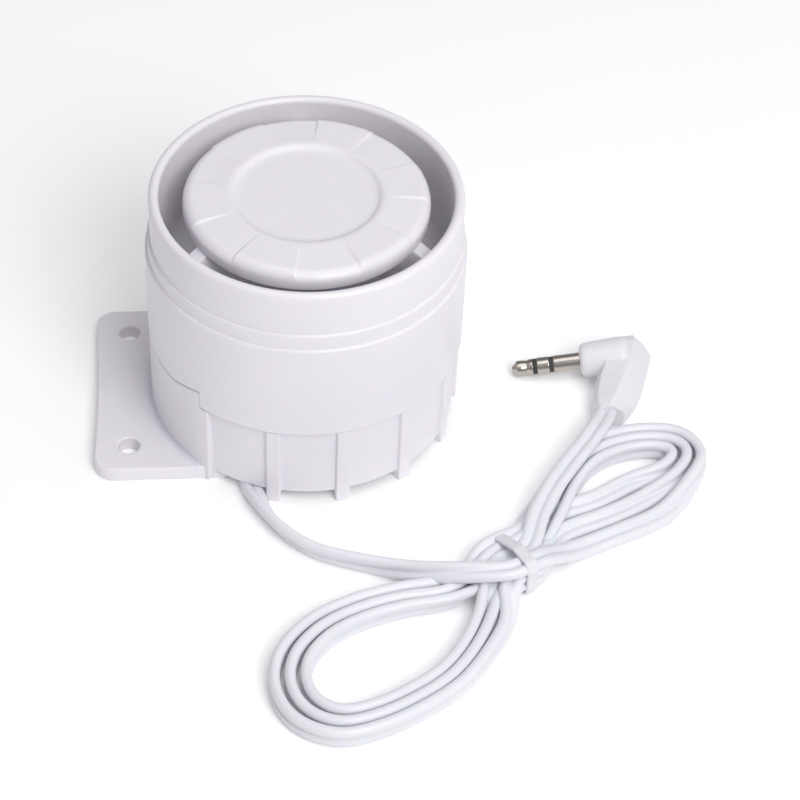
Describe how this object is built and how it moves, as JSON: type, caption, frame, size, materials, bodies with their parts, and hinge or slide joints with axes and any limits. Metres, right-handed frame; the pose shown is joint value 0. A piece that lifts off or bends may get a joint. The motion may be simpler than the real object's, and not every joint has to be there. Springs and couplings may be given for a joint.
{
  "type": "wired alarm siren",
  "caption": "Small white horn siren in a ribbed drum with a screw flange, a flat twin lead in a tied hank and a right-angle stereo plug; a wired sounder for alarm panels.",
  "frame": {"origin": "middle of the siren's footprint (housing and flange), on the face that meets the wall or table", "axes": "+Z out of the horn, flange towards -X, lead on the -Y side"},
  "size_m": [0.1218, 0.1233, 0.0537],
  "materials": {
    "white_abs": "smooth moulded ABS, satin gloss",
    "white_rubber": "soft moulded",
    "black_plastic": "moulded, matt",
    "black_rubber": "closed-cell foam rubber",
    "brass": "rolled sheet",
    "silvered_ceramic": "fired silver electrode on ceramic",
    "green_board": "fibreglass laminate with green resist",
    "ferrite": "sintered ferrite",
    "ivory_plastic": "moulded nylon",
    "copper_enamel": "enamelled copper wire",
    "blue_sleeve": "shrunk PVC sleeve",
    "tan_lacquer": "lacquered body",
    "zinc_steel": "bright zinc plate",
    "red_pvc": "extruded PVC",
    "black_pvc": "extruded PVC",
    "white_pvc": "extruded PVC, soft gloss",
    "tie_vinyl": "vinyl band over a wire",
    "plug_pvc": "moulded soft PVC",
    "nickel": "nickel plate, dull bright"
  },
  "bodies": {
    "root": {"rear_housing": "white_abs", "horn_shell": "white_abs", "reflector": "white_abs", "cord_grommet": "white_rubber", "driver_ring": "black_plastic", "driver_gasket": "black_rubber", "piezo_plate": "brass", "piezo_ceramic": "silvered_ceramic", "pcb": "green_board", "transformer_core": "ferrite", "transformer_bobbin": "ivory_plastic", "transformer_winding": "copper_enamel", "transistor": "black_plastic", "siren_ic": "black_plastic", "capacitor": "blue_sleeve", "resistors": "tan_lacquer", "diode": "black_plastic", "pcb_screws": "zinc_steel", "driver_screws": "zinc_steel", "housing_screws": "zinc_steel", "piezo_wire_red": "red_pvc", "piezo_wire_black": "black_pvc", "supply_wires": "white_pvc", "cord_tail": "white_pvc", "cord_hank": "white_pvc", "cord_tie": "tie_vinyl", "plug_lead": "white_pvc", "plug_body": "plug_pvc", "jack_sleeve": "nickel", "jack_ring": "nickel", "jack_tip": "nickel", "jack_insulator_rear": "black_plastic", "jack_insulator_front": "black_plastic"}
  },
  "joints": []
}
